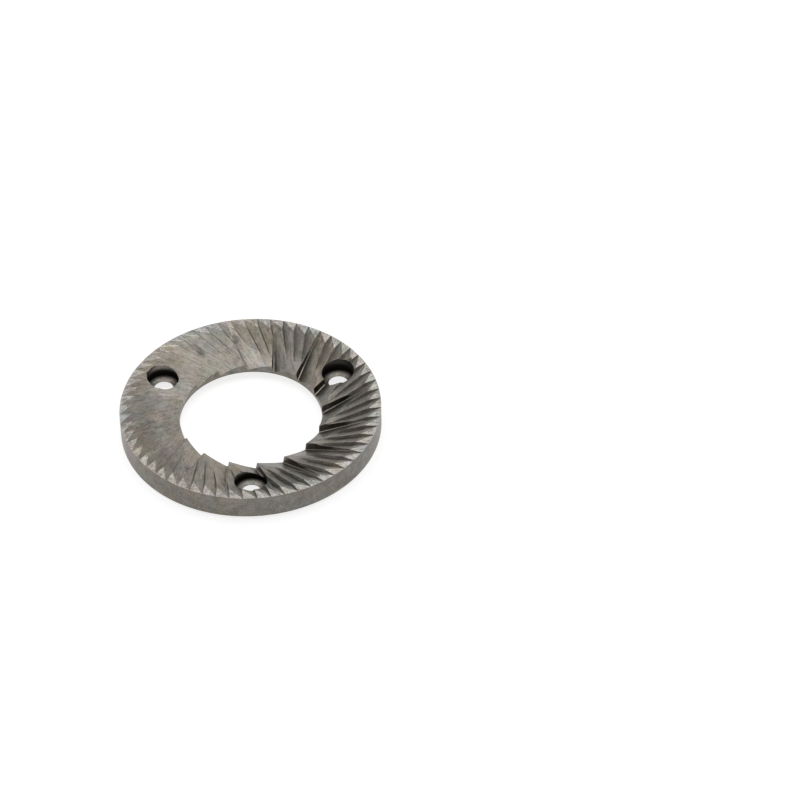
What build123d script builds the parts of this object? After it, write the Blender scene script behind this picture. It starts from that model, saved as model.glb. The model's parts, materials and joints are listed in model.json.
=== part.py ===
from build123d import *
from math import atan2, cos, degrees, pi, radians, sin, sqrt, tan
import os

os.makedirs("parts", exist_ok=True)

# Flat burr of a coffee grinder, in millimetres: one hardened steel ring with teeth ground into its face.
# It lies on its back rim with the teeth up. The origin is the centre of the back rim's plane, and +Z runs
# along the axis towards the teeth. Angles are in degrees, anticlockwise from +X seen from above.

# Turned ring
outer_d = 64.0
bore_d = 35.0
ring_height = 6.75  # from the back rim to the lands of the fine teeth
rim_wall = 2.9  # raised rim on the back, from the recess to the outside
back_chamfer = 0.7  # round the outside of the back rim
recess_depth = 2.0
recess_fillet = 0.5  # where the recess floor meets the rim

# Screw holes, drilled from the toothed face
screw_count = 3
screw_first = 30.0
screw_place = 0.517  # share of the way from the bore to the outside
screw_hole_d = 4.8
head_hole_d = 8.0
drill_point = 135.0  # angle of the conical seat under the screw head
seat_web = 0.2  # steel between the seat and the recess floor

# Fine teeth: straight grooves that fall inwards from the rim and leave a land between them
fine_count = 60
fine_first = 2.9  # where a groove meets the outside
fine_lean = 10.2  # how far a groove's root passes from the axis
fine_fall = 7.6  # slope of the root
fine_ramp = 14.3  # slope of the tooth's back
fine_wall = 50.0  # cutting wall, from the vertical
fine_notch = 0.05  # depth of a groove at the rim

# Coarse teeth: deeper grooves that open into the bore and rise outwards until they run out
coarse_count = 16
coarse_first = 3.0  # where a groove meets the bore
coarse_lean = 5.5
coarse_rise = 17.4
coarse_ramp = 25.9
coarse_wall = 10.3
coarse_web = 0.63  # steel between a groove's root and the recess floor, at the bore
nose_width = 0.25  # flat along the root, left by the wheel's edge
nose_slope = 15.7

cut_clearance = 0.5  # how far a groove's cutter passes the steel

outer_r = outer_d / 2
bore_r = bore_d / 2
recess_r = outer_r - rim_wall
screw_circle_r = bore_r + screw_place * (outer_r - bore_r)
seat_height = (head_hole_d - screw_hole_d) / 2 / tan(radians(drill_point / 2))
seat_z = recess_depth + seat_web + seat_height

# A cutter's own X runs outwards along its groove, so its root lies at Y = -lean, and its wall faces -Y.

# Cutter of a fine groove, from outside the rim in to the axis
fine_slope = tan(radians(fine_fall))
fine_rim_x = sqrt(outer_r**2 - fine_lean**2)
fine_turn = fine_first + degrees(atan2(fine_lean, fine_rim_x))
fine_run = fine_rim_x + cut_clearance
fine_root_z = ring_height - fine_notch + cut_clearance * fine_slope
fine_tall = fine_run * fine_slope + fine_notch + cut_clearance
fine_reach = pi * outer_d / fine_count + cut_clearance

with BuildPart() as fine_cutter:
    with BuildSketch(Plane((fine_run, -fine_lean, fine_root_z), x_dir=(0, 1, 0), z_dir=(1, 0, 0))):
        with BuildLine():
            Polyline(
                (0, 0),
                (fine_tall * tan(radians(fine_wall)), fine_tall),
                (-fine_reach, fine_tall),
                (-fine_reach, fine_reach * tan(radians(fine_ramp))),
                close=True,
            )
        make_face()
    extrude(amount=fine_run / cos(radians(fine_fall)), dir=(-1, 0, -fine_slope))

# Cutter of a coarse groove, from inside the bore, level with the next groove's mouth, out past the rim
coarse_slope = tan(radians(coarse_rise))
coarse_bore_x = sqrt(bore_r**2 - coarse_lean**2)
coarse_lead = atan2(coarse_lean, coarse_bore_x)
coarse_turn = coarse_first + degrees(coarse_lead)
coarse_in_x = bore_r * cos(coarse_lead + 2 * pi / coarse_count) - cut_clearance
coarse_in_z = recess_depth + coarse_web - (coarse_bore_x - coarse_in_x) * coarse_slope
coarse_tall = ring_height - coarse_in_z + cut_clearance
coarse_run = outer_r - coarse_in_x + cut_clearance
nose_rise = nose_width * tan(radians(nose_slope))

with BuildPart() as coarse_cutter:
    with BuildSketch(Plane((coarse_in_x, -coarse_lean, coarse_in_z), x_dir=(0, 1, 0), z_dir=(1, 0, 0))):
        with BuildLine():
            Polyline(
                (0, 0),
                (nose_width, nose_rise),
                (nose_width + (coarse_tall - nose_rise) * tan(radians(coarse_wall)), coarse_tall),
                (-coarse_tall / tan(radians(coarse_ramp)), coarse_tall),
                close=True,
            )
        make_face()
    extrude(amount=coarse_run / cos(radians(coarse_rise)), dir=(1, 0, coarse_slope))

# The burr
with BuildPart() as grinding_burr:
    with BuildSketch(Plane.XZ) as ring_section:
        with BuildLine():
            Polyline(
                (bore_r, recess_depth),
                (recess_r, recess_depth),
                (recess_r, 0),
                (outer_r, 0),
                (outer_r, ring_height),
                (bore_r, ring_height),
                close=True,
            )
        make_face()
        rim_feet = ring_section.vertices().group_by(Axis.Y)[0]
        recess_corners = ring_section.vertices().group_by(Axis.Y)[1]
        chamfer(rim_feet.sort_by(Axis.X)[-1], length=back_chamfer)
        fillet(recess_corners.sort_by(Axis.X)[-1], radius=recess_fillet)
    revolve(axis=Axis.Z)
    with PolarLocations(0, fine_count, start_angle=fine_turn):
        add(fine_cutter.part, mode=Mode.SUBTRACT)
    with PolarLocations(0, coarse_count, start_angle=coarse_turn):
        add(coarse_cutter.part, mode=Mode.SUBTRACT)
    with Locations(Plane.XY.offset(seat_z)):
        with PolarLocations(screw_circle_r, screw_count, start_angle=screw_first):
            CounterSinkHole(screw_hole_d / 2, head_hole_d / 2, counter_sink_angle=drill_point)

grinding_burr.part.label = "grinding_burr"
export_step(grinding_burr.part, "parts/grinding_burr.step")
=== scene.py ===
import json
from math import asin, cos, pi, radians, sin

import bpy
from mathutils import Matrix, Vector


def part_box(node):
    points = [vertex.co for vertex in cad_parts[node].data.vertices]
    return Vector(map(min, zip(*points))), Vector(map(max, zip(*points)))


bl_info = {
    "name": "Coffee grinder burr",
    "version": (1, 0, 0),
    "blender": (4, 5, 0),
    "location": "View3D > Sidebar > Burr",
    "description": "Ground steel finish, studio and camera for a flat coffee grinder burr",
    "category": "Material",
}

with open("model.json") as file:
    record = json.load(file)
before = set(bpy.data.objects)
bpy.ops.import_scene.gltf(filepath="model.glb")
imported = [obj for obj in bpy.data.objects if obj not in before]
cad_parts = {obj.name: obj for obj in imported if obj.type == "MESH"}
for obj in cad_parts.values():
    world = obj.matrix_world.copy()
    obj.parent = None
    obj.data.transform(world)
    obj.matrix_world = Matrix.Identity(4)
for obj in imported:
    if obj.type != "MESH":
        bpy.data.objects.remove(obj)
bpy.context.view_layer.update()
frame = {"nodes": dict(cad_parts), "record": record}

BURR = "grinding_burr"
LOW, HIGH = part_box(BURR)
OUTER_R = (HIGH.x - LOW.x) / 2
FACE_Z = HIGH.z
MILLIMETRE = 0.001
MOUNT_SIZES = {mount["name"]: mount["dims"] for mount in frame["record"]["mounts"]}
BORE_R = MOUNT_SIZES["centre_bore"]["r_mm"] * MILLIMETRE
SCREW_CIRCLE_R = MOUNT_SIZES["screw_holes"]["pcd_mm"] / 2 * MILLIMETRE
SCREW_COUNT = MOUNT_SIZES["screw_holes"]["count"]

# Kinds of face by the Z of their normals, from upright to level: each value is its kind's upper limit
UPRIGHT = 0.1  # turned and drilled walls stand straighter than any wall of a groove
COARSE_WALL = 0.5
FINE_WALL = 0.82
COARSE_RAMP = 0.9
COARSE_ROOT = 0.94
FINE_RAMP = 0.985
SKIN = 0.00003  # reach of a mask past the face that it stands for

# Where one side of the ring turns into another: Y in metres, then cosines of the turn from a side's middle
NEAR_TO_FAR = (-0.016, 0.012)
SHADED_SIDE_EDGE = (-0.28, 0.15)
SHADED_SIDE_RAGGED = 0.5  # how far patches move that edge
OUTER_SHADE_SIDE_EDGE = (0.55, 0.8)
BRIGHT_WALL_EDGE = (0.24, 0.52)
SIDE_BRIGHTENING_EDGE = (0.75, 1.0)

# Where painted shade along the grooves and in the screw holes, and painted light, begin and end, in metres
EDGE_BLUR = 0.0012  # half the width of a soft edge round the ring
INNER_RAMP_BLUR = 0.002
INNER_WALL_BLUR = 0.0015
ROOT_CLEAR = 0.0004  # gap from a coarse root where the painted shade thins out
LINE_START = (0.0001, ROOT_CLEAR)
LINE_END = (0.0005, 0.0009)
RUN_OUT_SHADE_REACH = 0.0022
STRIP_START_R = 0.0195  # on the near side, while on the far side strips begin at the bore
STRIP_FAR_Y = (0.003, 0.009)
OUTER_SHADE_START_R = (0.0225, 0.0262)
RUN_OUT_R = (0.0237, 0.0277)
RIM_WALL_R = 0.0285
MOUTH_Z = (FACE_Z - 0.0026, FACE_Z - 0.0012)  # from the painted black shade low on a screw hole's wall up to its mouth
SEAT_FADE = (0.72, 0.99)  # shares of a head recess's radius

# How much of the steel the painted shade hides, along the grooves and in the screw holes, and how far noise
# changes that
PATCHY = 1.2
STREAKY = 1.8
FINE_PEAK = (0.38, 0.64)  # off the belt, in the belt
FINE_BY_SIDE = (1.42, 0.72)  # near, far
LINE_PEAK = 0.60
HALO_PEAK = 0.42
WALL_PEAK = (0.55, 0.88)  # near, far
ROOT_PEAK = (0.15, 0.55)  # near, far
OUTER_SHADE_PEAK = 0.26
WALL_OUTER_SHADE = 0.6  # of that, on the walls
RUN_OUT_SHADE_PEAK = 0.6
RUN_OUT_SHADE_PATCHES = (0.42, 0.56)
RUN_OUT_SHADE_SHARE = (0.2, 1.0)  # off the patches, on them
SEAT_HOLE_SHADE = (0.18, 0.97)  # down the seat, at the wall
MOUTH_HOLE_SHADE = (0.1, 0.65)  # unshaded side, shaded side

# Brightness: painted light and shade as gains and shades of single faces, then how far noise changes it
BELT_WALL = 0.88
INNER_WALL_GAIN = 3.0
RIM_WALL = 1.55
# Level of the land colour that is painted as light on a screw hole's mouth
MOUTH_SHADE = 0.62
LAND_DARKENING = (0.24, 0.05)  # unshaded side, shaded side
SIDE_BRIGHTENING = 0.2
PAST_BELT = (0.2, -0.16)  # near, far
INNER_RAMP_GAIN = 0.55
GRAIN_SWING = (1.1, 1.8)  # teeth, lands
MOTTLE_SWING = (0.85, 1.4)  # teeth, lands
MARK_SWING = (0.45, 0.7)  # ground, turned
STREAK_SWING = (1.1, 1.25)  # unshaded side, shaded side

# Noise: how fast lines change along their way, tints, stains, and marks as roughness and relief
GROOVE_DRIFT = 350.0  # per metre
LAND_DRIFT = 120.0  # per metre
STREAK_DRIFT = 400.0  # per metre
TURNED_DRIFT = 6.0  # per radian
TINT_REACH = 0.3
STAIN_EDGE = (0.32, 0.68)
MARK_EDGE = (0.3, 0.7)
MARK_ROUGHNESS = (-0.05, 0.05)
RELIEF_STRENGTH = 0.25
RELIEF_DEPTH = 0.00002

ROOM_EDGE = (0.155, 0.461)  # where the dim side of the room ends and its light side begins, as cosines
SENSOR_WIDTH = 36.0  # millimetres


class BurrFinish(bpy.types.PropertyGroup):
    """Colours, textures and grooves of the burr's steel, with its painted light and shade."""

    steel_colour: bpy.props.FloatVectorProperty(
        name="Steel", description="Hardened steel, ground along the grooves",
        subtype="COLOR", size=3, min=0, max=1, default=(0.246, 0.228, 0.199))
    # Painted light: a brighter copy of the steel colour for the coarse ramps
    coarse_lit_colour: bpy.props.FloatVectorProperty(
        name="Coarse faces", description="Backs of the coarse teeth, which the beans keep bright",
        subtype="COLOR", size=3, min=0, max=1, default=(0.315, 0.292, 0.256))
    land_colour: bpy.props.FloatVectorProperty(
        name="Lands", description="Bright steel where the tooth tips were ground flat",
        subtype="COLOR", size=3, min=0, max=1, default=(0.535, 0.515, 0.475))
    # Painted shade: the dark colour laid along the roots, on outer ramps and where the coarse grooves run
    # out
    painted_shade_colour: bpy.props.FloatVectorProperty(
        name="Residue", description="Coffee residue along the roots of the grooves",
        subtype="COLOR", size=3, min=0, max=1, default=(0.036, 0.030, 0.021))
    # Painted shade: the near-black colour low in the screw holes
    hole_shade_colour: bpy.props.FloatVectorProperty(
        name="Scale", description="Dark scale that hardening leaves in the screw holes",
        subtype="COLOR", size=3, min=0, max=1, default=(0.006, 0.005, 0.004))
    # Painted shade and light on the walls: a darker copy of the steel, and a brighter one on one side
    wall_shade: bpy.props.FloatProperty(
        name="Wall shade", description="Brightness of the grooves' walls beside the ramps, under residue",
        subtype="FACTOR", min=0, max=1, default=0.73)
    lit_side_wall_shade: bpy.props.FloatProperty(
        name="Clean wall shade", description="Brightness of the fine grooves' clean walls beside the ramps",
        subtype="FACTOR", min=0, max=2, default=1.6)
    rim_polish: bpy.props.FloatProperty(
        name="Back rim polish", description="How close the back rim, ground flat, comes to the lands",
        subtype="FACTOR", min=0, max=1, default=0.4)
    turned_shade: bpy.props.FloatProperty(
        name="Turned shade", description="Brightness of the turned walls beside the ramps",
        subtype="FACTOR", min=0, max=1, default=0.77)
    steel_roughness: bpy.props.FloatProperty(
        name="Steel roughness", description="Roughness of the tooth faces",
        subtype="FACTOR", min=0, max=1, default=0.40)
    land_roughness: bpy.props.FloatProperty(
        name="Land roughness", description="Roughness of the ground tips",
        subtype="FACTOR", min=0, max=1, default=0.34)
    painted_shade_roughness: bpy.props.FloatProperty(
        name="Residue roughness", description="Roughness of the residue and the scale",
        subtype="FACTOR", min=0, max=1, default=0.55)
    # How far the painted shade reaches from the roots, and the belt where it reaches furthest
    fine_painted_shade: bpy.props.FloatProperty(
        name="Fine residue", description="How far residue spreads from a fine groove's root",
        subtype="DISTANCE", unit="LENGTH", default=0.00045)
    belt_painted_shade: bpy.props.FloatProperty(
        name="Belt residue", description="How far it spreads from a fine root in the belt where it collects",
        subtype="DISTANCE", unit="LENGTH", default=0.0017)
    coarse_painted_shade: bpy.props.FloatProperty(
        name="Coarse residue", description="How far residue spreads from a coarse groove's root",
        subtype="DISTANCE", unit="LENGTH", default=0.0023)
    belt_inner: bpy.props.FloatProperty(
        name="Belt inside", description="Inner radius of the belt where residue collects",
        subtype="DISTANCE", unit="LENGTH", default=0.0232)
    belt_outer: bpy.props.FloatProperty(
        name="Belt outside", description="Outer radius of the belt where residue collects",
        subtype="DISTANCE", unit="LENGTH", default=0.0292)
    strip_end: bpy.props.FloatProperty(
        name="Strip end", description="Radius where the dark strips along the coarse roots end",
        subtype="DISTANCE", unit="LENGTH", default=0.0247)
    # Radius inside which the teeth are made brighter and the root shade stops
    inner_reach: bpy.props.FloatProperty(
        name="Bean reach", description="Radius up to which the beans keep the teeth bright",
        subtype="DISTANCE", unit="LENGTH", default=0.0212)
    fine_count: bpy.props.IntProperty(
        name="Fine grooves", description="Number of fine grooves", default=60)
    fine_first: bpy.props.FloatProperty(
        name="First fine groove", description="Where a fine groove's root meets the outside",
        subtype="ANGLE", unit="ROTATION", default=radians(2.9))
    fine_lean: bpy.props.FloatProperty(
        name="Fine lean", description="How far a fine groove's root passes from the axis",
        subtype="DISTANCE", unit="LENGTH", default=0.0102)
    coarse_count: bpy.props.IntProperty(
        name="Coarse grooves", description="Number of coarse grooves", default=16)
    coarse_first: bpy.props.FloatProperty(
        name="First coarse groove", description="Where a coarse groove's root meets the bore",
        subtype="ANGLE", unit="ROTATION", default=radians(3.0))
    coarse_lean: bpy.props.FloatProperty(
        name="Coarse lean", description="How far a coarse groove's root passes from the axis",
        subtype="DISTANCE", unit="LENGTH", default=0.0055)
    # Sides for painted shade and light: least painted shade, painted shade on outer ramps, painted light on
    # fine walls, painted light on teeth
    unshaded_side: bpy.props.FloatProperty(
        name="Wiped side", description="Direction of the side that keeps the least residue",
        subtype="ANGLE", unit="ROTATION", default=radians(174))
    outer_shade_side: bpy.props.FloatProperty(
        name="Film side", description="Direction of the side where a thin film is left of the residue",
        subtype="ANGLE", unit="ROTATION", default=radians(185))
    bright_wall_side: bpy.props.FloatProperty(
        name="Bright wall side", description="Direction of the side where the fine walls are bright",
        subtype="ANGLE", unit="ROTATION", default=radians(160))
    lit_teeth_side: bpy.props.FloatProperty(
        name="Polished side", description="Direction of the side where the teeth shine most",
        subtype="ANGLE", unit="ROTATION", default=radians(235))
    screw_first: bpy.props.FloatProperty(
        name="First screw hole", description="Place of a screw hole round the axis",
        subtype="ANGLE", unit="ROTATION", default=radians(30.0))
    head_hole_d: bpy.props.FloatProperty(
        name="Head recess", description="Diameter of the recess for a screw head",
        subtype="DISTANCE", unit="LENGTH", default=0.008)
    line_pitch: bpy.props.FloatProperty(
        name="Tool line pitch", description="Distance between the marks that a wheel or lathe tool leaves",
        subtype="DISTANCE", unit="LENGTH", default=0.00014)
    streak_pitch: bpy.props.FloatProperty(
        name="Streak pitch", description="Distance between the streaks of residue along the grooves",
        subtype="DISTANCE", unit="LENGTH", default=0.0006)
    grain_size: bpy.props.FloatProperty(
        name="Grain size", description="Size of the speckle in the steel",
        subtype="DISTANCE", unit="LENGTH", default=0.00045)
    mottle_size: bpy.props.FloatProperty(
        name="Mottle size", description="Size of the lighter and darker patches",
        subtype="DISTANCE", unit="LENGTH", default=0.0022)
    tint_size: bpy.props.FloatProperty(
        name="Tint size", description="Size of the small tints in the steel",
        subtype="DISTANCE", unit="LENGTH", default=0.004)
    stain_size: bpy.props.FloatProperty(
        name="Stain size", description="Size of the stains that hardening leaves",
        subtype="DISTANCE", unit="LENGTH", default=0.011)
    warm_stain: bpy.props.FloatVectorProperty(
        name="Warm stain", description="What a straw-coloured stain leaves of each colour",
        size=3, min=0, max=2, default=(1.025, 1.0, 0.965))
    cool_stain: bpy.props.FloatVectorProperty(
        name="Cool stain", description="What a blue-grey stain leaves of each colour",
        size=3, min=0, max=2, default=(0.98, 1.0, 1.03))


class BurrStage(bpy.types.PropertyGroup):
    """Floor, light and camera."""

    floor_colour: bpy.props.FloatVectorProperty(
        name="Floor", description="Colour of the floor",
        subtype="COLOR", size=3, min=0, max=1, default=(0.42, 0.42, 0.42))
    floor_white: bpy.props.FloatProperty(
        name="Floor white", description="What the floor shows by itself, besides the light that falls on it",
        min=0, max=1, default=0.78)
    floor_size: bpy.props.FloatProperty(
        name="Floor size", description="Side of the floor",
        subtype="DISTANCE", unit="LENGTH", default=8.0)
    softbox_width: bpy.props.FloatProperty(
        name="Softbox width", description="Size of the overhead softbox along X",
        subtype="DISTANCE", unit="LENGTH", default=1.23)
    softbox_depth: bpy.props.FloatProperty(
        name="Softbox depth", description="Size of the overhead softbox along Y",
        subtype="DISTANCE", unit="LENGTH", default=0.49)
    softbox_height: bpy.props.FloatProperty(
        name="Softbox height", description="Height of the softbox over the floor",
        subtype="DISTANCE", unit="LENGTH", default=0.80)
    softbox_offset: bpy.props.FloatVectorProperty(
        name="Softbox offset", description="Place of the softbox's middle over the floor",
        subtype="XYZ", size=2, default=(-0.169, 0.076))
    softbox_glow: bpy.props.FloatProperty(
        name="Softbox glow", description="Brightness of the softbox, where 1 is white",
        min=0, default=1.9)
    room_back: bpy.props.FloatProperty(
        name="Room behind", description="Brightness of the room behind the burr",
        min=0, default=0.77)
    room_front: bpy.props.FloatProperty(
        name="Room in front", description="Brightness of the room on the camera's side",
        min=0, default=0.20)
    room_turn: bpy.props.FloatProperty(
        name="Room turn", description="Direction of the light side of the room",
        subtype="ANGLE", unit="ROTATION", default=radians(73))
    turn: bpy.props.FloatProperty(
        name="Camera turn", description="Turn of the camera about the burr's axis, from straight in front",
        subtype="ANGLE", unit="ROTATION", default=radians(-1.1))
    elevation: bpy.props.FloatProperty(
        name="Camera elevation", description="Camera's angle above the floor",
        subtype="ANGLE", unit="ROTATION", default=radians(43.22))
    roll: bpy.props.FloatProperty(
        name="Camera roll", description="Turn of the camera about its own line of sight",
        subtype="ANGLE", unit="ROTATION", default=radians(-1.05))
    distance: bpy.props.FloatProperty(
        name="Camera distance", description="From the camera to its aim",
        subtype="DISTANCE", unit="LENGTH", default=0.8892)
    lens: bpy.props.FloatProperty(
        name="Lens", description="Focal length on a 36 mm sensor, in millimetres",
        subtype="DISTANCE_CAMERA", default=161.84)
    aim: bpy.props.FloatVectorProperty(
        name="Camera aim", description="Point in the middle of the picture",
        subtype="XYZ", size=3, unit="LENGTH", default=(0.03677, 0.00699, 0.0007))


class Wiring:
    """Adds nodes to one node tree. A value that is a socket is linked, and any other is set on the input."""

    def __init__(self, tree):
        self.tree = tree

    def add(self, kind, inputs=None, **settings):
        node = self.tree.nodes.new(kind)
        for name, value in settings.items():
            setattr(node, name, value)
        for key, value in (inputs or {}).items():
            if isinstance(value, bpy.types.NodeSocket):
                self.tree.links.new(value, node.inputs[key])
            else:
                node.inputs[key].default_value = value
        return node

    def math(self, operation, a, b=0.0, c=0.0):
        return self.add("ShaderNodeMath", {0: a, 1: b, 2: c}, operation=operation).outputs[0]

    def band(self, value, low, high, start=0.0, end=1.0):
        """start below low, end above high, and smooth between them."""
        inputs = {"Value": value, "From Min": low, "From Max": high, "To Min": start, "To Max": end}
        return self.add("ShaderNodeMapRange", inputs, interpolation_type="SMOOTHSTEP").outputs["Result"]

    def by(self, share, ends):
        """The first of two values where share is 0, the second where it is 1, and smooth between them."""
        return self.band(share, 0.0, 1.0, *ends)

    def mix(self, share, a, b):
        """Colour a where share is 0 and b where it is 1."""
        return self.add("ShaderNodeMix", {0: share, 6: a, 7: b}, data_type="RGBA").outputs[2]

    def between(self, value, low, high):
        """1 where value is above low and below high."""
        above = self.math("GREATER_THAN", value, low)
        return self.math("MULTIPLY", above, self.math("LESS_THAN", value, high))

    def length(self, a, b):
        """Length of the plane vector (a, b)."""
        return self.math("SQRT", self.math("ADD", self.math("MULTIPLY", a, a), self.math("MULTIPLY", b, b)))

    def chain(self, operation, values):
        """One number out of several, by an operation on two of them at a time."""
        result = values[0]
        for value in values[1:]:
            result = self.math(operation, result, value)
        return result

    def product(self, *values):
        return self.chain("MULTIPLY", values)

    def most(self, *values):
        return self.chain("MAXIMUM", values)

    def total(self, *values):
        return self.chain("ADD", values)

    def vector(self, x, y, z):
        return self.add("ShaderNodeCombineXYZ", {0: x, 1: y, 2: z}).outputs[0]

    def choose(self, share, a, b):
        """Vector a where share is 0 and b where it is 1."""
        return self.add("ShaderNodeMix", {0: share, 4: a, 5: b}, data_type="VECTOR").outputs[1]

    def blend(self, share, a, b):
        """Number a where share is 0 and b where it is 1."""
        return self.add("ShaderNodeMix", {0: share, 2: a, 3: b}).outputs[0]

    def times(self, a, b):
        """Product of two colours, channel by channel."""
        return self.add("ShaderNodeVectorMath", {0: a, 1: b}, operation="MULTIPLY").outputs[0]

    def rest(self, share):
        """What share leaves of 1."""
        return self.math("SUBTRACT", 1.0, share)

    def scaled(self, colour, level):
        node = self.add("ShaderNodeVectorMath", {0: colour, "Scale": level}, operation="SCALE")
        return node.outputs[0]

    def noise(self, vector, scale, detail=2.0, roughness=0.5, output="Fac"):
        inputs = {"Vector": vector, "Scale": scale, "Detail": detail, "Roughness": roughness}
        return self.add("ShaderNodeTexNoise", inputs).outputs[output]

    def swing(self, noise, reach):
        """Noise from 0 to 1 as a change of up to half of reach either way."""
        return self.math("MULTIPLY", self.math("SUBTRACT", noise, 0.5), reach)


def four(colour, level=1.0):
    """A colour property, times level, as the four numbers of a colour socket."""
    return (colour[0] * level, colour[1] * level, colour[2] * level, 1.0)


class Ring:
    """Places on the ring as sockets: radius, angle, height and which kind of face a point is on."""

    def __init__(self, wires, look):
        self.wires = wires
        self.place = wires.add("ShaderNodeTexCoord").outputs["Object"]
        self.x, self.y, self.z = wires.add("ShaderNodeSeparateXYZ", {0: self.place}).outputs
        self.radius = wires.length(self.x, self.y)
        self.angle = wires.math("ARCTAN2", self.y, self.x)
        normal = wires.add("ShaderNodeNewGeometry").outputs["Normal"]
        rise = wires.add("ShaderNodeSeparateXYZ", {0: normal}).outputs[2]

        # Place seen from the axis of the nearest screw hole
        half_step = pi / SCREW_COUNT
        past_first = wires.math("SUBTRACT", self.angle, look.screw_first)
        fold = wires.math("WRAP", past_first, half_step, -half_step)
        along = wires.math("MULTIPLY", self.radius, wires.math("COSINE", fold))
        out = wires.math("SUBTRACT", along, SCREW_CIRCLE_R)
        side = wires.math("MULTIPLY", self.radius, wires.math("SINE", fold))
        self.hole_gap = wires.length(out, side)
        near = wires.math("LESS_THAN", self.hole_gap, look.head_hole_d / 2 + SKIN)
        self.hole = wires.math("MULTIPLY", near, wires.math("GREATER_THAN", rise, -UPRIGHT))
        off_hole = wires.rest(self.hole)

        # Kinds of face
        self.upright = wires.between(rise, -UPRIGHT, UPRIGHT)
        back = wires.math("LESS_THAN", rise, -UPRIGHT)
        self.turned = wires.most(self.upright, back)
        self.toothed = wires.rest(self.turned)
        self.rim = wires.math("MULTIPLY", back, wires.math("LESS_THAN", self.z, LOW.z + SKIN))
        self.land = wires.math("MULTIPLY", off_hole, wires.math("GREATER_THAN", self.z, FACE_Z - SKIN))
        coarse = wires.math("MAXIMUM", wires.between(rise, UPRIGHT, COARSE_WALL),
                            wires.between(rise, FINE_WALL, COARSE_ROOT))
        wall = wires.math("MULTIPLY", off_hole, wires.between(rise, UPRIGHT, FINE_WALL))
        self.coarse = wires.math("MULTIPLY", off_hole, coarse)
        self.coarse_wall = wires.math("MULTIPLY", wall, self.coarse)
        self.fine_wall = wires.math("SUBTRACT", wall, self.coarse_wall)
        self.coarse_root = wires.math("MULTIPLY", off_hole, wires.between(rise, COARSE_RAMP, COARSE_ROOT))
        self.coarse_ramp = wires.math("MULTIPLY", off_hole, wires.between(rise, FINE_WALL, COARSE_RAMP))
        self.fine_ramp = wires.math("MULTIPLY", off_hole, wires.between(rise, COARSE_ROOT, FINE_RAMP))

        # Grooves, and parts of the ring
        self.fine_way = self.heading(look.fine_lean)
        self.coarse_way = self.heading(look.coarse_lean)
        self.fine_gap = self.root_gap(
            self.fine_way, look.fine_lean, look.fine_first, OUTER_R, look.fine_count)
        self.coarse_gap = self.root_gap(
            self.coarse_way, look.coarse_lean, look.coarse_first, BORE_R, look.coarse_count)
        self.belt = wires.product(self.outside(look.belt_inner), self.inside(look.belt_outer))
        self.far_side = wires.band(self.y, *NEAR_TO_FAR)

    def facing(self, side):
        """Cosine of the angle round the axis between a point and a side of the ring."""
        return self.wires.math("COSINE", self.wires.math("SUBTRACT", self.angle, side))

    def heading(self, lean):
        """Direction of the groove through a point: its angle plus the arcsine of lean over radius."""
        turn = self.wires.math("ARCSINE", self.wires.math("DIVIDE", lean, self.radius))
        return self.wires.math("ADD", self.angle, turn)

    def root_gap(self, heading, lean, first, start_r, count):
        """Distance from a point on a ramp to its root: the rest of the pitch times the way along."""
        pitch = 2 * pi / count
        since = self.wires.math("SUBTRACT", heading, first + asin(lean / start_r))
        phase = self.wires.math("FRACT", self.wires.math("DIVIDE", since, pitch))
        square = self.wires.math("MULTIPLY", self.radius, self.radius)
        along = self.wires.math("SQRT", self.wires.math("SUBTRACT", square, lean * lean))
        rest = self.wires.math("MULTIPLY", self.wires.rest(phase), pitch)
        return self.wires.math("MULTIPLY", rest, along)

    def inside(self, edge, blur=EDGE_BLUR):
        """1 inside a circle round the axis and 0 outside it, with a soft edge."""
        return self.wires.band(self.radius, edge - blur, edge + blur, 1.0, 0.0)

    def outside(self, edge, blur=EDGE_BLUR):
        """0 inside a circle round the axis and 1 outside it, with a soft edge."""
        return self.wires.band(self.radius, edge - blur, edge + blur)

    def lines(self, heading, height, pitch):
        """Vector for noise that runs in lines along one heading, or round the ring at one height."""
        across = OUTER_R / pitch
        return self.wires.vector(
            self.wires.math("MULTIPLY", self.wires.math("COSINE", heading), across),
            self.wires.math("MULTIPLY", self.wires.math("SINE", heading), across),
            height)


def tool_marks(wires, ring, look):
    """Noise along the grooves on their faces, straight across the lands and round the ring elsewhere."""
    drift = wires.math("MULTIPLY", ring.radius, GROOVE_DRIFT)
    fine = ring.lines(ring.fine_way, drift, look.line_pitch)
    coarse = ring.lines(ring.coarse_way, drift, look.line_pitch)
    ground = wires.vector(
        wires.math("MULTIPLY", ring.x, LAND_DRIFT), wires.math("DIVIDE", ring.y, look.line_pitch), 0.0)
    height = wires.math("DIVIDE", wires.math("ADD", ring.z, ring.radius), look.line_pitch)
    turned = ring.lines(ring.angle, height, OUTER_R / TURNED_DRIFT)
    way = wires.choose(ring.coarse, fine, coarse)
    way = wires.choose(ring.land, way, ground)
    way = wires.choose(ring.turned, way, turned)
    return wires.noise(way, 1.0)


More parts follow.
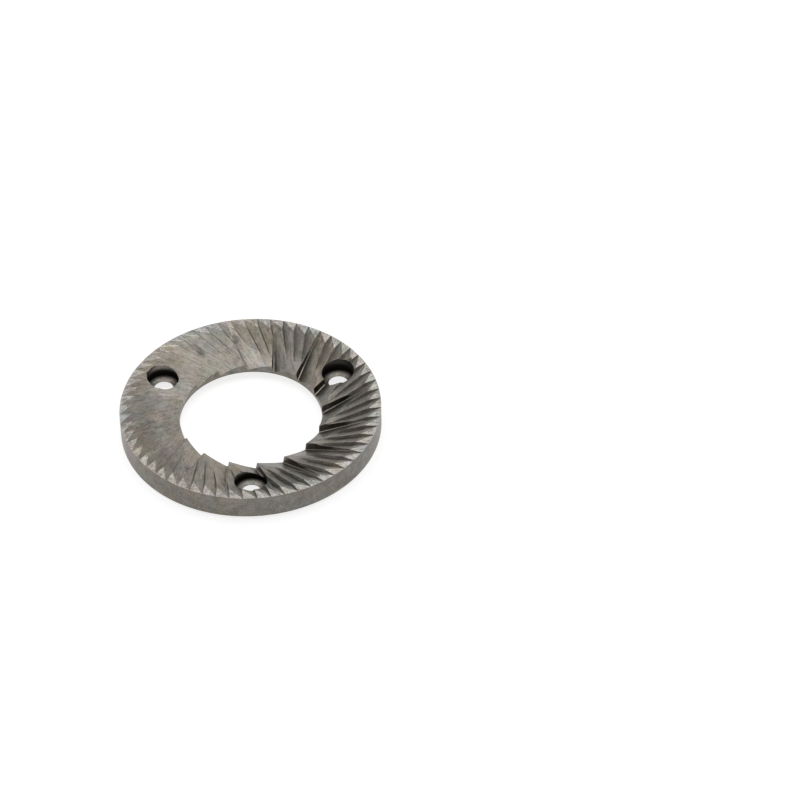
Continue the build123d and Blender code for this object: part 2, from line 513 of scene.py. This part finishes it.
class SteelNoise:
    """Noise on the steel as sockets: marks, speckle, patches, streaks, and colours of tints and stains."""

    def __init__(self, wires, ring, look):
        self.marks = tool_marks(wires, ring, look)
        self.grain = wires.noise(ring.place, 1 / look.grain_size, detail=3.0, roughness=0.6)
        self.mottle = wires.noise(ring.place, 1 / look.mottle_size, detail=2.0, roughness=0.6)
        drift = wires.math("MULTIPLY", ring.radius, STREAK_DRIFT)
        self.streaks = wires.noise(ring.lines(ring.fine_way, drift, look.streak_pitch), 1.0)
        tint = wires.noise(ring.place, 1 / look.tint_size, detail=2.0, output="Color")
        reach = (TINT_REACH, 0, TINT_REACH)
        least = (1 - TINT_REACH / 2, 1, 1 - TINT_REACH / 2)
        self.tint = wires.add(
            "ShaderNodeVectorMath", {0: tint, 1: reach, 2: least}, operation="MULTIPLY_ADD").outputs[0]
        stain = wires.noise(ring.place, 1 / look.stain_size, detail=1.0)
        self.stain = wires.mix(wires.band(stain, *STAIN_EDGE), four(look.warm_stain), four(look.cool_stain))


def fine_strips(wires, ring, look):
    """Painted shade along the fine roots, widest in the belt and most on the near side."""
    reach = wires.by(ring.belt, (look.fine_painted_shade, look.belt_painted_shade))
    peak = wires.product(wires.by(ring.belt, FINE_PEAK), wires.by(ring.far_side, FINE_BY_SIDE))
    near_root = wires.band(ring.fine_gap, 0.0, reach, 1.0, 0.0)
    return wires.product(near_root, peak, ring.outside(look.inner_reach), ring.fine_ramp)


def coarse_strips(wires, ring, look):
    """Painted shade along the coarse roots: a dark line with a halo on the ramp, and some on wall and root.
    """
    gap = ring.coarse_gap
    strip = ring.inside(look.strip_end)
    reach = wires.by(strip, (look.coarse_painted_shade / 2, look.coarse_painted_shade))
    line = wires.product(wires.band(gap, *LINE_START), wires.band(gap, *LINE_END, LINE_PEAK, 0.0), strip)
    fade = wires.band(gap, ROOT_CLEAR, reach, HALO_PEAK, 0.0)
    halo = wires.product(wires.band(gap, 0.0, ROOT_CLEAR), fade)
    ramps = wires.product(wires.most(line, halo), ring.coarse_ramp)
    start = wires.most(ring.outside(STRIP_START_R), wires.band(ring.y, *STRIP_FAR_Y))
    walls = wires.product(ring.coarse_wall, strip, start, wires.by(ring.far_side, WALL_PEAK))
    past_inner = ring.outside(look.inner_reach)
    roots = wires.product(ring.coarse_root, past_inner, wires.by(ring.far_side, ROOT_PEAK))
    return wires.most(ramps, walls, roots)


def outer_ramp_shade(wires, ring, look):
    """Painted shade on the outer fine ramps of one side, and less of it on their walls short of the rim."""
    faces = wires.most(ring.fine_ramp, wires.product(ring.fine_wall, ring.inside(RIM_WALL_R), WALL_OUTER_SHADE))
    side = wires.band(ring.facing(look.outer_shade_side), *OUTER_SHADE_SIDE_EDGE)
    return wires.product(faces, wires.band(ring.radius, *OUTER_SHADE_START_R, 0.0, OUTER_SHADE_PEAK), side)


def run_out_shade(wires, ring, noise):
    """Painted shade in patches where the coarse grooves run out."""
    run_out = wires.product(ring.coarse_ramp, ring.outside(RUN_OUT_R[0]), ring.inside(RUN_OUT_R[1]))
    near_root = wires.band(ring.coarse_gap, ROOT_CLEAR, RUN_OUT_SHADE_REACH, RUN_OUT_SHADE_PEAK, 0.0)
    return wires.product(run_out, near_root, wires.band(noise.mottle, *RUN_OUT_SHADE_PATCHES, *RUN_OUT_SHADE_SHARE))


def painted_shade_share(wires, ring, look, noise, shaded_share):
    """How much painted shade hides the steel: strips along the roots on the shaded side, and shade on outer
    ramps and run-outs on the other.
    """
    patchy = wires.total(1.0, wires.swing(noise.mottle, PATCHY), wires.swing(noise.streaks, STREAKY))
    strips = wires.most(fine_strips(wires, ring, look), coarse_strips(wires, ring, look))
    traces = wires.most(outer_ramp_shade(wires, ring, look), run_out_shade(wires, ring, noise))
    return wires.most(wires.product(strips, patchy, shaded_share), wires.product(traces, wires.rest(shaded_share)))


def hole_shade_share(wires, ring, look, shaded_share):
    """How much painted shade darkens a screw hole: black low on the wall, less down the seat and at the
    mouth.
    """
    seat_r = look.head_hole_d / 2
    down_seat = wires.band(ring.hole_gap, SEAT_FADE[0] * seat_r, SEAT_FADE[1] * seat_r, *SEAT_HOLE_SHADE)
    up_wall = wires.band(ring.z, *MOUTH_Z, 1.0, wires.by(shaded_share, MOUTH_HOLE_SHADE))
    return wires.product(down_seat, up_wall, ring.hole)


def fine_wall_shade(wires, ring, look, shaded_share):
    """Painted shade and light on the fine walls: darkest in the belt, and brighter near the bore, at the rim
    and on one side.
    """
    inner_gain = wires.by(ring.inside(look.inner_reach, INNER_WALL_BLUR), (1.0, INNER_WALL_GAIN))
    shade = wires.product(inner_gain, wires.by(ring.belt, (1.0, BELT_WALL)), look.wall_shade)
    shade = wires.band(ring.facing(look.bright_wall_side), *BRIGHT_WALL_EDGE, shade, look.lit_side_wall_shade)
    at_rim = wires.product(ring.outside(RIM_WALL_R), wires.rest(shaded_share))
    return wires.product(shade, wires.by(at_rim, (1.0, RIM_WALL)))


def face_colour(wires, ring, look, shaded_share):
    """Colour of the steel by kind of face, with painted light and shade: ramps, walls, turned walls, screw
    holes, back rim and lands.
    """
    # Painted shade on the coarse walls of the shaded side, and painted shade and light on the fine walls
    coarse_shade = wires.by(shaded_share, (1.0, look.wall_shade))
    fine_shade = fine_wall_shade(wires, ring, look, shaded_share)
    # Painted light: the mouth of a screw hole, away from the shaded side, takes the dimmed land colour
    mouth = wires.product(ring.hole, wires.band(ring.z, *MOUTH_Z), wires.rest(shaded_share))
    # Painted shade: lands fade towards the steel colour, most away from the shaded side
    land = wires.mix(wires.by(shaded_share, LAND_DARKENING), four(look.land_colour), four(look.steel_colour))
    # Painted light: the coarse ramps take a brighter copy of the steel
    colour = wires.mix(ring.coarse_ramp, four(look.steel_colour), four(look.coarse_lit_colour))
    colour = wires.mix(ring.coarse_wall, colour, wires.scaled(look.steel_colour, coarse_shade))
    colour = wires.mix(ring.fine_wall, colour, wires.scaled(look.steel_colour, fine_shade))
    colour = wires.mix(ring.upright, colour, four(look.steel_colour, look.turned_shade))
    colour = wires.mix(mouth, colour, four(look.land_colour, MOUTH_SHADE))
    colour = wires.mix(wires.math("MULTIPLY", ring.rim, look.rim_polish), colour, four(look.land_colour))
    return wires.mix(ring.land, colour, land)


def brightness(wires, ring, look, noise, shaded_share):
    """What painted light and shade on some faces and sides, and noise, make of the colour, where 1 leaves it
    as it is.
    """
    # Painted light on the teeth facing one side
    side_light = wires.band(ring.facing(look.lit_teeth_side), *SIDE_BRIGHTENING_EDGE, 0.0, SIDE_BRIGHTENING)
    lit_teeth = wires.math("SUBTRACT", ring.toothed, wires.most(ring.land, ring.fine_wall))
    # Painted light past the belt on the near side, painted shade on the far side
    past_belt = wires.product(ring.fine_ramp, ring.outside(look.belt_outer), shaded_share)
    return wires.total(
        1.0,
        wires.product(side_light, lit_teeth),
        wires.product(past_belt, wires.band(ring.y, *NEAR_TO_FAR, *PAST_BELT)),
        # Fine ramps inside that radius are made brighter on the shaded side
        wires.product(ring.fine_ramp, ring.inside(look.inner_reach, INNER_RAMP_BLUR), shaded_share, INNER_RAMP_GAIN),
        # Painted light on the coarse walls past the strips
        wires.product(ring.coarse_wall, ring.outside(look.strip_end)),
        wires.swing(noise.grain, wires.by(ring.land, GRAIN_SWING)),
        wires.swing(noise.mottle, wires.by(ring.land, MOTTLE_SWING)),
        wires.swing(noise.marks, wires.by(ring.turned, MARK_SWING)),
        wires.product(wires.swing(noise.streaks, wires.by(shaded_share, STREAK_SWING)), ring.toothed))


def steel_material(look):
    """Ground and hardened steel, with painted shade over it and in the screw holes, and painted light on
    some faces.
    """
    material = bpy.data.materials.new("ground_steel")
    material.use_nodes = True
    tree = material.node_tree
    shader = tree.nodes["Principled BSDF"]
    wires = Wiring(tree)
    ring = Ring(wires, look)
    noise = SteelNoise(wires, ring, look)

    # One side of the ring is left lighter, and the other gets painted shade
    unshaded = wires.total(ring.facing(look.unshaded_side), wires.swing(noise.mottle, SHADED_SIDE_RAGGED))
    shaded_share = wires.band(unshaded, *SHADED_SIDE_EDGE, 1.0, 0.0)
    # Shares of painted shade along the grooves and in the screw holes
    painted_shade = painted_shade_share(wires, ring, look, noise, shaded_share)
    scale = hole_shade_share(wires, ring, look, shaded_share)

    colour = face_colour(wires, ring, look, shaded_share)
    colour = wires.scaled(colour, brightness(wires, ring, look, noise, shaded_share))
    colour = wires.times(wires.times(colour, noise.tint), noise.stain)
    # Lay the painted shade over the steel
    colour = wires.mix(painted_shade, colour, four(look.painted_shade_colour))
    colour = wires.mix(scale, colour, four(look.hole_shade_colour))
    tree.links.new(colour, shader.inputs["Base Color"])

    rough = wires.blend(ring.land, look.steel_roughness, look.land_roughness)
    rough = wires.math("ADD", rough, wires.band(noise.marks, *MARK_EDGE, *MARK_ROUGHNESS))
    rough = wires.blend(wires.most(painted_shade, scale), rough, look.painted_shade_roughness)
    tree.links.new(rough, shader.inputs["Roughness"])
    relief = wires.math("MULTIPLY", wires.math("ADD", noise.marks, noise.grain), 0.5)
    bump = wires.add(
        "ShaderNodeBump", {"Height": relief, "Strength": RELIEF_STRENGTH, "Distance": RELIEF_DEPTH})
    tree.links.new(bump.outputs[0], shader.inputs["Normal"])
    shader.inputs["Metallic"].default_value = 1.0
    return material


def floor_material(stage):
    """Pale floor that takes the burr's shadow, and shows white to the camera and in the steel."""
    material = bpy.data.materials.new("pale_floor")
    material.use_nodes = True
    tree = material.node_tree
    tree.nodes.clear()
    wires = Wiring(tree)
    path = wires.add("ShaderNodeLightPath").outputs
    seen = wires.math("MAXIMUM", path["Is Camera Ray"], path["Is Glossy Ray"])
    seen = wires.math("MAXIMUM", seen, path["Is Transmission Ray"])
    white = wires.math("MULTIPLY", seen, stage.floor_white)
    paper = wires.add("ShaderNodeBsdfDiffuse", {"Color": four(stage.floor_colour)})
    glow = wires.add("ShaderNodeEmission", {"Color": (1, 1, 1, 1), "Strength": white})
    both = wires.add("ShaderNodeAddShader", {0: paper.outputs[0], 1: glow.outputs[0]})
    wires.add("ShaderNodeOutputMaterial", {"Surface": both.outputs[0]})
    return material


class BURR_OT_finish_steel(bpy.types.Operator):
    """Give the burr its ground and hardened steel"""

    bl_idname = "burr.finish_steel"
    bl_label = "Finish the steel"

    def execute(self, context):
        burr = frame["nodes"][BURR]
        burr.data.materials.clear()
        burr.data.materials.append(steel_material(context.scene.burr_finish))
        return {"FINISHED"}


class BURR_OT_set_stage(bpy.types.Operator):
    """Lay the floor, hang the softbox and place the camera"""

    bl_idname = "burr.set_stage"
    bl_label = "Set the stage"

    def execute(self, context):
        stage = context.scene.burr_stage
        self.lay_floor(context, stage)
        self.hang_softbox(context, stage)
        self.light_room(context, stage)
        self.place_camera(context, stage)
        context.scene.view_settings.view_transform = "Standard"
        return {"FINISHED"}

    def lay_floor(self, context, stage):
        half = stage.floor_size / 2
        mesh = bpy.data.meshes.new("floor")
        corners = [(-half, -half, 0), (half, -half, 0), (half, half, 0), (-half, half, 0)]
        mesh.from_pydata(corners, [], [(0, 1, 2, 3)])
        floor = bpy.data.objects.new("floor", mesh)
        floor.data.materials.append(floor_material(stage))
        context.scene.collection.objects.link(floor)

    def hang_softbox(self, context, stage):
        lamp = bpy.data.lights.new("softbox", "AREA")
        lamp.shape = "RECTANGLE"
        lamp.size = stage.softbox_width
        lamp.size_y = stage.softbox_depth
        lamp.energy = stage.softbox_glow * pi * stage.softbox_width * stage.softbox_depth
        softbox = bpy.data.objects.new("softbox", lamp)
        softbox.location = (stage.softbox_offset[0], stage.softbox_offset[1], stage.softbox_height)
        context.scene.collection.objects.link(softbox)

    def light_room(self, context, stage):
        """Room that is dim on the camera's side and light behind the burr."""
        world = bpy.data.worlds.new("room")
        world.use_nodes = True
        context.scene.world = world
        tree = world.node_tree
        wires = Wiring(tree)
        towards = wires.add("ShaderNodeTexCoord").outputs["Generated"]
        light_side = (cos(stage.room_turn), sin(stage.room_turn), 0)
        depth = wires.add("ShaderNodeVectorMath", {0: towards, 1: light_side}, operation="DOT_PRODUCT")
        level = wires.band(depth.outputs["Value"], *ROOM_EDGE, stage.room_front, stage.room_back)
        tree.nodes["Background"].inputs["Color"].default_value = (1, 1, 1, 1)
        tree.links.new(level, tree.nodes["Background"].inputs["Strength"])

    def place_camera(self, context, stage):
        camera = bpy.data.objects.new("camera", bpy.data.cameras.new("camera"))
        camera.data.lens = stage.lens
        camera.data.sensor_width = SENSOR_WIDTH
        back = Matrix.Translation(Vector((0, -cos(stage.elevation), sin(stage.elevation))) * stage.distance)
        tilt = Matrix.Rotation(pi / 2 - stage.elevation, 4, "X") @ Matrix.Rotation(stage.roll, 4, "Z")
        turn = Matrix.Rotation(stage.turn, 4, "Z")
        camera.matrix_world = Matrix.Translation(stage.aim) @ turn @ back @ tilt
        context.scene.collection.objects.link(camera)
        context.scene.camera = camera


class BURR_PT_panel(bpy.types.Panel):
    """Settings and steps of the burr"""

    bl_idname = "BURR_PT_panel"
    bl_label = "Burr"
    bl_space_type = "VIEW_3D"
    bl_region_type = "UI"
    bl_category = "Burr"

    def draw(self, context):
        for group, operator in (("burr_finish", "burr.finish_steel"), ("burr_stage", "burr.set_stage")):
            settings = getattr(context.scene, group)
            for name in settings.__annotations__:
                self.layout.prop(settings, name)
            self.layout.operator(operator)


CLASSES = (BurrFinish, BurrStage, BURR_OT_finish_steel, BURR_OT_set_stage, BURR_PT_panel)


def register():
    for cls in CLASSES:
        bpy.utils.register_class(cls)
    bpy.types.Scene.burr_finish = bpy.props.PointerProperty(type=BurrFinish)
    bpy.types.Scene.burr_stage = bpy.props.PointerProperty(type=BurrStage)


def unregister():
    del bpy.types.Scene.burr_stage
    del bpy.types.Scene.burr_finish
    for cls in reversed(CLASSES):
        bpy.utils.unregister_class(cls)


def main():
    register()
    bpy.ops.burr.finish_steel()
    bpy.ops.burr.set_stage()


if __name__ == "__main__":
    main()
